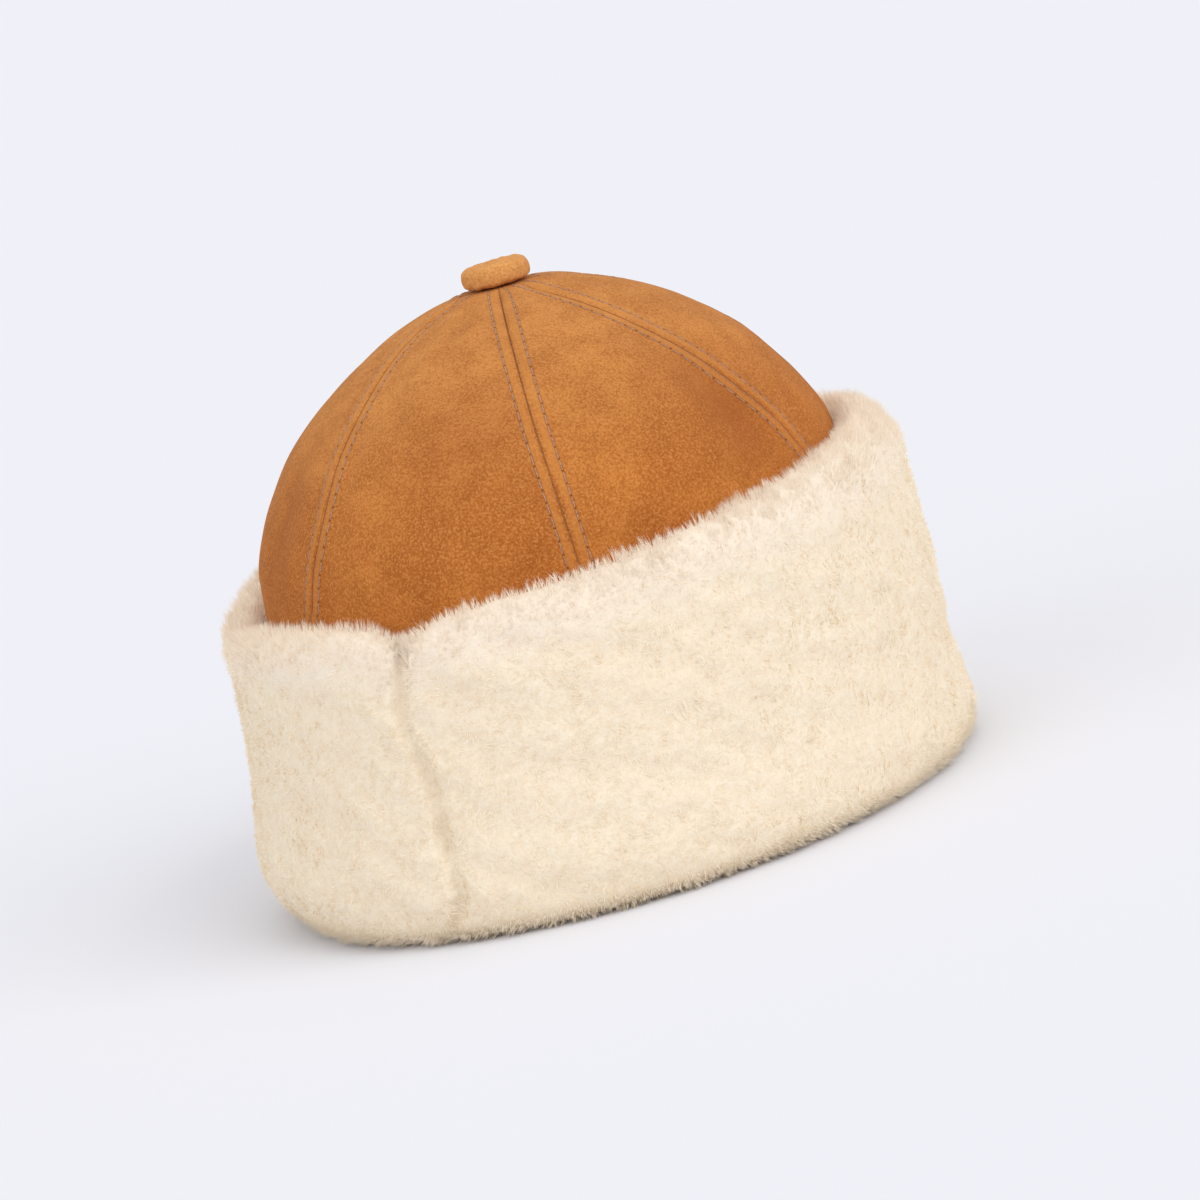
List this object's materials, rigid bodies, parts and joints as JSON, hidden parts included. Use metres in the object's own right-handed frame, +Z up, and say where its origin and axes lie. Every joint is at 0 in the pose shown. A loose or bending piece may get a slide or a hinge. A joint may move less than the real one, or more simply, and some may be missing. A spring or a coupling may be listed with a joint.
{
  "type": "sheepskin hat",
  "caption": "Domed sheepskin hat: a suede crown of sewn panels with a covered button on top, and a deep turned-up cuff with the fleece outside.",
  "frame": {"origin": "on the plane that the hat rests on, at the middle of the cuff's outline", "axes": "+Z up, +Y towards the front of the hat, -Y towards the join of the cuff, which is taken as the back, +X to the wearer's right when the hat is worn that way round"},
  "size_m": [0.2432, 0.2651, 0.1958],
  "materials": {
    "suede": "tan suede, brushed nap, no gloss",
    "fleece": "dense clipped cream sheep's wool"
  },
  "bodies": {
    "root": {"crown_panel_1": "suede", "crown_panel_2": "suede", "crown_panel_3": "suede", "crown_panel_4": "suede", "crown_panel_5": "suede", "crown_panel_6": "suede", "crown_button": "suede", "cuff": "fleece"}
  },
  "joints": []
}
